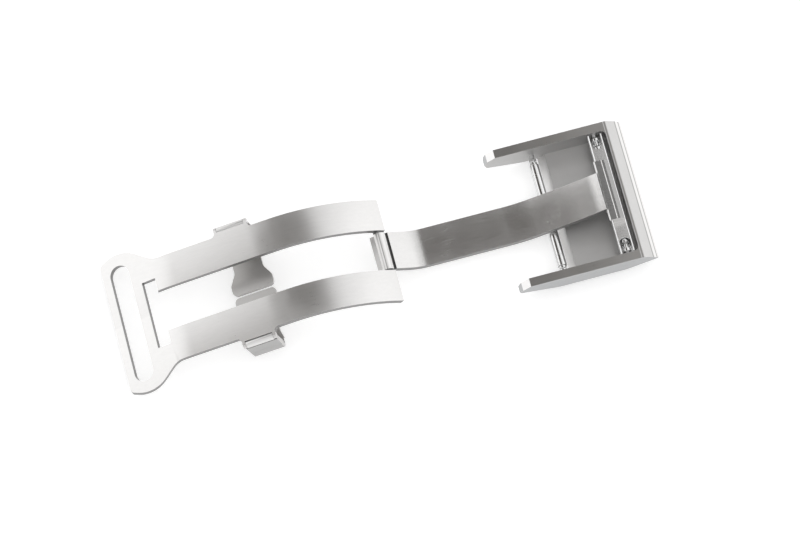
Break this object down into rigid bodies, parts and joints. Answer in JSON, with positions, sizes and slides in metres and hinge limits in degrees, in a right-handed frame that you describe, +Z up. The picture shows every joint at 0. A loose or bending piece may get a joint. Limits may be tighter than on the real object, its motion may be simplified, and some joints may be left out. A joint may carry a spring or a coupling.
{
  "type": "deployant clasp",
  "caption": "Single-fold deployant clasp for a strap: forked outer blade with keeper flaps, narrow middle blade and open-horned cover with sprung strap bar",
  "frame": {"origin": "on the table under the middle of the open clasp's length, on the flat outer plane of the cover, on the clasp's middle plane", "axes": "+X runs along the open clasp to the cover's closed end, +Y across it toward the far rail, +Z up, away from the cover's outer face"},
  "size_m": [0.0818, 0.0228, 0.0089],
  "materials": {
    "cover_steel": "fine satin steel with softly broken edges",
    "blade_steel": "satin steel sheet, brushed lengthways",
    "polished_steel": "bright polished steel facets",
    "bar_steel": "turned and polished steel",
    "spring_wire": "drawn spring wire"
  },
  "bodies": {
    "cover": {"cover": "cover_steel"},
    "strap_bar": {"strap_bar_tube": "bar_steel", "strap_bar_spring": "spring_wire"},
    "strap_tip_left": {"strap_bar_tip_left": "bar_steel"},
    "strap_tip_right": {"strap_bar_tip_right": "bar_steel"},
    "blade": {"middle_blade": "blade_steel", "hinge_block": "polished_steel", "hinge_bar_tube": "bar_steel", "hinge_bar_spring": "spring_wire"},
    "hinge_tip_left": {"hinge_bar_tip_left": "bar_steel"},
    "hinge_tip_right": {"hinge_bar_tip_right": "bar_steel"},
    "fork": {"fork_blade": "blade_steel", "fold_pin": "bar_steel", "keeper_pin_left": "bar_steel", "keeper_pin_right": "bar_steel"},
    "flap_left": {"keeper_flap_left": "blade_steel"},
    "flap_right": {"keeper_flap_right": "blade_steel"}
  },
  "joints": [
    {"name": "cover_hinge", "type": "hinge", "parent": "cover", "child": "blade", "pos_m": [0.03653, 0, 0.00335], "axis": [0, 1, 0], "range_deg": [0, 25]},
    {"name": "fold_hinge", "type": "hinge", "parent": "blade", "child": "fork", "pos_m": [0.00112, 0, 0.00429], "axis": [0, 1, 0], "range_deg": [0, 179.5]},
    {"name": "flap_left_hinge", "type": "hinge", "parent": "fork", "child": "flap_left", "pos_m": [-0.02022, 0.00937, 0.00671], "axis": [-0.9763, 0, -0.2164], "range_deg": [-100, 0]},
    {"name": "flap_right_hinge", "type": "hinge", "parent": "fork", "child": "flap_right", "pos_m": [-0.02022, -0.00937, 0.00671], "axis": [0.9763, 0, 0.2164], "range_deg": [-100, 0]},
    {"name": "strap_bar_spin", "type": "hinge", "parent": "cover", "child": "strap_bar", "pos_m": [0.02662, 0, 0.0016], "axis": [0, 1, 0], "continuous": true},
    {"name": "strap_tip_left_slide", "type": "slide", "parent": "strap_bar", "child": "strap_tip_left", "axis": [0, -1, 0], "range_m": [0, 0.00085], "stiffness_N_per_m": 600, "deforming": ["strap_bar_spring"]},
    {"name": "strap_tip_right_slide", "type": "slide", "parent": "strap_bar", "child": "strap_tip_right", "axis": [0, 1, 0], "range_m": [0, 0.00085], "stiffness_N_per_m": 600, "deforming": ["strap_bar_spring"]},
    {"name": "hinge_tip_left_slide", "type": "slide", "parent": "blade", "child": "hinge_tip_left", "axis": [0, -1, 0], "range_m": [0, 0.00085], "stiffness_N_per_m": 600, "deforming": ["hinge_bar_spring"]},
    {"name": "hinge_tip_right_slide", "type": "slide", "parent": "blade", "child": "hinge_tip_right", "axis": [0, 1, 0], "range_m": [0, 0.00085], "stiffness_N_per_m": 600, "deforming": ["hinge_bar_spring"]}
  ]
}
